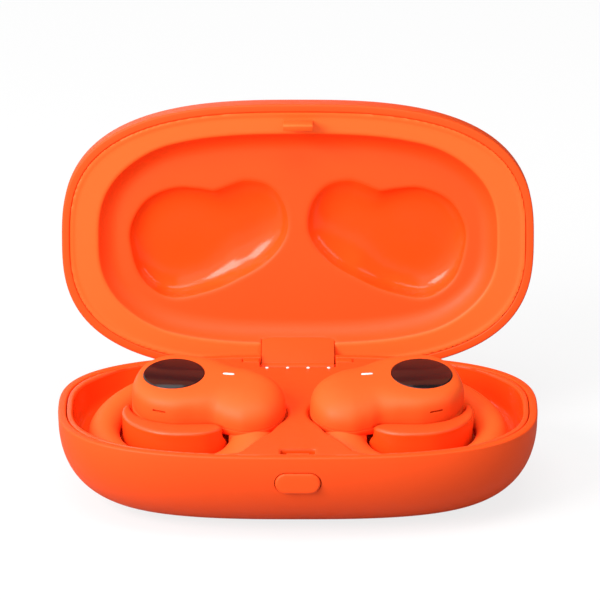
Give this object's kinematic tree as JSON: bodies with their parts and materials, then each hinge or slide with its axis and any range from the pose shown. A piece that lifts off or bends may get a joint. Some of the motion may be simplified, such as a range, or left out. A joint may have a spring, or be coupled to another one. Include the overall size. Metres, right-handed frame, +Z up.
{
  "type": "open-ear earbuds in a charging case",
  "caption": "Pair of open-ear wireless earbuds with thick C-shaped ear hooks, seated in a pebble-shaped charging case with a sprung flip lid and a front release button.",
  "frame": {"origin": "centre of the flat foot under the case, on the table", "axes": "+X along the case to the right as seen from the front, +Y to the hinge at the back, +Z up"},
  "size_m": [0.096, 0.0769, 0.0699],
  "materials": {
    "case_shell": "soft-touch coating, very fine matt grain",
    "tray": "satin top, polished inside the seats",
    "lining": "fine matt, polished inside the hollows",
    "bud_shell": "smooth satin",
    "silicone": "soft matt silicone",
    "touch_disc": "piano-black gloss",
    "light": "translucent white",
    "gold": "gold plated",
    "steel": "plain drawn steel",
    "magnet": "nickel plated",
    "driver": "stamped can",
    "mesh": "blackened, perforated",
    "socket": "tin plated",
    "cell": "foil pouch",
    "board": "green solder mask",
    "pin_block": "black moulding"
  },
  "bodies": {
    "case_base": {"base_shell": "case_shell", "tray": "tray", "hinge_pin": "steel", "hinge_spring": "steel", "latch_spring": "steel", "case_battery": "cell", "charging_board": "board", "usb_socket": "socket", "left_pin_block": "pin_block", "right_pin_block": "pin_block", "left_seat_magnet": "magnet", "right_seat_magnet": "magnet"},
    "lid": {"lid_shell": "case_shell", "lid_lining": "lining", "hinge_arm": "case_shell", "latch_hook": "lining"},
    "release_button": {"release_button": "case_shell", "latch_bar": "lining"},
    "left_inner_pin": {"left_inner_pin": "gold"},
    "left_outer_pin": {"left_outer_pin": "gold"},
    "right_inner_pin": {"right_inner_pin": "gold"},
    "right_outer_pin": {"right_outer_pin": "gold"},
    "left_bud": {"left_outer_shell": "bud_shell", "left_inner_shell": "bud_shell", "left_touch_disc": "touch_disc", "left_light_pipe": "light", "left_ear_hook": "silicone", "left_hook_wire": "steel", "left_battery": "cell", "left_board": "board", "left_driver": "driver", "left_speaker_mesh": "mesh", "left_microphone": "socket", "left_contacts": "gold", "left_magnet": "magnet"},
    "right_bud": {"right_outer_shell": "bud_shell", "right_inner_shell": "bud_shell", "right_touch_disc": "touch_disc", "right_light_pipe": "light", "right_ear_hook": "silicone", "right_hook_wire": "steel", "right_battery": "cell", "right_board": "board", "right_driver": "driver", "right_speaker_mesh": "mesh", "right_microphone": "socket", "right_contacts": "gold", "right_magnet": "magnet"}
  },
  "joints": [
    {"name": "lid_hinge", "type": "hinge", "parent": "case_base", "child": "lid", "pos_m": [0, 0.0267, 0.016], "axis": [-1, 0, 0], "range_deg": [-97, 0], "stiffness_Nm_per_rad": 0.003, "springref_deg": 20.05, "deforming": ["hinge_spring"]},
    {"name": "button_press", "type": "slide", "parent": "case_base", "child": "release_button", "axis": [0, 1, 0], "range_m": [0, 0.0012], "stiffness_N_per_m": 400, "deforming": ["latch_spring"]},
    {"name": "left_inner_pin_press", "type": "slide", "parent": "case_base", "child": "left_inner_pin", "axis": [-0.0242, -0.1371, 0.9903], "range_m": [-0.0006, 0], "stiffness_N_per_m": 150},
    {"name": "left_outer_pin_press", "type": "slide", "parent": "case_base", "child": "left_outer_pin", "axis": [-0.0242, -0.1371, 0.9903], "range_m": [-0.0006, 0], "stiffness_N_per_m": 150},
    {"name": "right_inner_pin_press", "type": "slide", "parent": "case_base", "child": "right_inner_pin", "axis": [0.0242, -0.1371, 0.9903], "range_m": [-0.0006, 0], "stiffness_N_per_m": 150},
    {"name": "right_outer_pin_press", "type": "slide", "parent": "case_base", "child": "right_outer_pin", "axis": [0.0242, -0.1371, 0.9903], "range_m": [-0.0006, 0], "stiffness_N_per_m": 150},
    {"name": "left_bud_lift", "type": "slide", "parent": "case_base", "child": "left_bud", "axis": [-0.0242, -0.1371, 0.9903], "range_m": [0, 0.024]},
    {"name": "right_bud_lift", "type": "slide", "parent": "case_base", "child": "right_bud", "axis": [0.0242, -0.1371, 0.9903], "range_m": [0, 0.045]}
  ]
}
